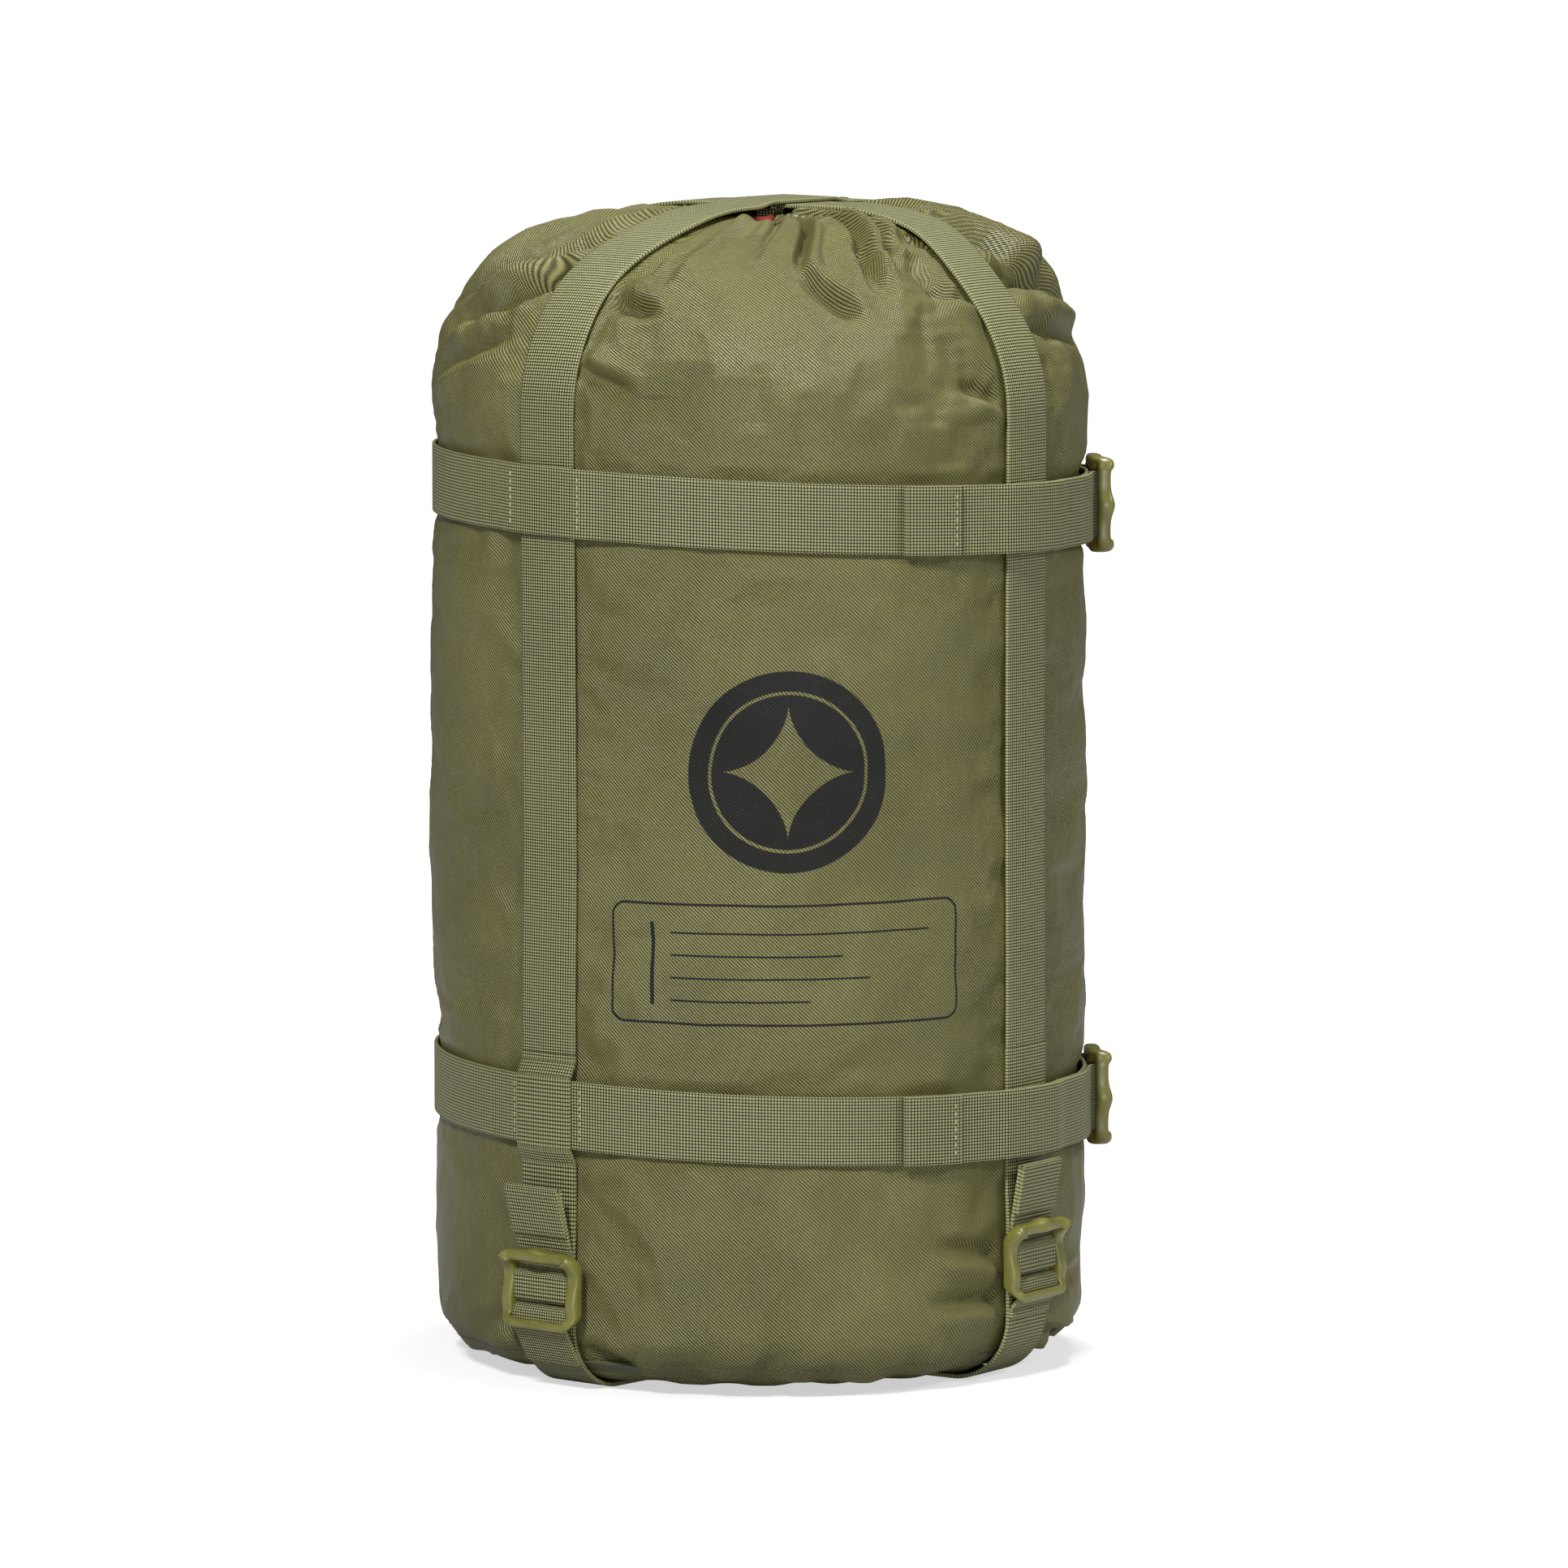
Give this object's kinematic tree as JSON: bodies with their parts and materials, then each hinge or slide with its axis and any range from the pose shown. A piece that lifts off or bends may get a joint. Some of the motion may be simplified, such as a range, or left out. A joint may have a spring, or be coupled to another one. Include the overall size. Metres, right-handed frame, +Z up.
{
  "type": "compression stuff sack",
  "caption": "Stuffed cylindrical compression sack of olive cloth with crossed webbing straps, two belts, ladder-lock buckles and a gathered mouth.",
  "frame": {"origin": "centre of the base, on the surface the sack stands on", "axes": "+Z up along the sack, -Y through the middle of the printed front, +X towards the belts' buckles"},
  "size_m": [0.2561, 0.2481, 0.4374],
  "materials": {
    "pack_cloth": "satin",
    "webbing": "satin",
    "binding_tape": "matte",
    "thread": "satin",
    "cord": "matte",
    "moulding": "satin",
    "load_cloth": "matte",
    "spring_wire": "satin"
  },
  "bodies": {
    "sack": {"side_panel": "pack_cloth", "base_panel": "pack_cloth", "base_seam_binding": "binding_tape", "load_lower": "load_cloth", "base_strap_a": "webbing", "base_strap_b": "webbing", "belt_lower_strap": "webbing", "belt_lower_anchor": "webbing", "belt_lower_stitching": "thread", "top_strap_a": "webbing", "top_strap_b": "webbing"},
    "crown": {"load_upper": "load_cloth", "mouth_hem": "pack_cloth", "mouth_drawcord": "cord", "hem_tab": "webbing", "cord_lock_body": "moulding", "cord_lock_spring": "spring_wire"},
    "upper_belt": {"belt_upper_strap": "webbing", "belt_upper_anchor": "webbing", "belt_upper_stitching": "thread"},
    "cord_lock_button": {"cord_lock_plunger": "moulding"},
    "lock_front_left": {"ladder_lock_front_left": "moulding"},
    "lock_front_right": {"ladder_lock_front_right": "moulding"},
    "lock_back_right": {"ladder_lock_back_right": "moulding"},
    "lock_back_left": {"ladder_lock_back_left": "moulding"},
    "lock_belt_lower": {"ladder_lock_belt_lower": "moulding"},
    "lock_belt_upper": {"ladder_lock_belt_upper": "moulding"}
  },
  "joints": [
    {"name": "compression", "type": "slide", "parent": "sack", "child": "crown", "axis": [0, 0, -1], "range_m": [0, 0.09], "deforming": ["side_panel", "load_upper", "top_strap_a", "top_strap_b"]},
    {"name": "upper_belt_drop", "type": "slide", "parent": "sack", "child": "upper_belt", "axis": [0, 0, -1], "range_m": [0, 0.085]},
    {"name": "button_press", "type": "slide", "parent": "crown", "child": "cord_lock_button", "axis": [-1, 0, 0], "range_m": [0, 0.004], "stiffness_N_per_m": 600, "springref_m": -0.0015, "deforming": ["cord_lock_spring"]},
    {"name": "lock_front_left_tilt", "type": "hinge", "parent": "sack", "child": "lock_front_left", "pos_m": [-0.0874, -0.0874, 0.0295], "axis": [0.7071, -0.7071, 0], "range_deg": [0, 60]},
    {"name": "lock_front_right_tilt", "type": "hinge", "parent": "sack", "child": "lock_front_right", "pos_m": [0.09537, -0.07862, 0.037], "axis": [0.6361, 0.7716, 0], "range_deg": [0, 60]},
    {"name": "lock_back_right_tilt", "type": "hinge", "parent": "sack", "child": "lock_back_right", "pos_m": [0.0874, 0.0874, 0.037], "axis": [-0.7071, 0.7071, 0], "range_deg": [0, 60]},
    {"name": "lock_back_left_tilt", "type": "hinge", "parent": "sack", "child": "lock_back_left", "pos_m": [-0.09537, 0.07862, 0.037], "axis": [-0.6361, -0.7716, 0], "range_deg": [0, 60]},
    {"name": "lock_belt_lower_tilt", "type": "hinge", "parent": "sack", "child": "lock_belt_lower", "pos_m": [0.12608, 0.0058, 0.097], "axis": [0, 0, 1], "range_deg": [0, 60], "deforming": ["belt_lower_strap"]},
    {"name": "lock_belt_upper_tilt", "type": "hinge", "parent": "upper_belt", "child": "lock_belt_upper", "pos_m": [0.12608, 0.0058, 0.322], "axis": [0, 0, 1], "range_deg": [0, 60], "deforming": ["belt_upper_strap"]}
  ],
  "couplings": [
    {"joint": "upper_belt_drop", "follows": "compression", "ratio": 0.938}
  ]
}
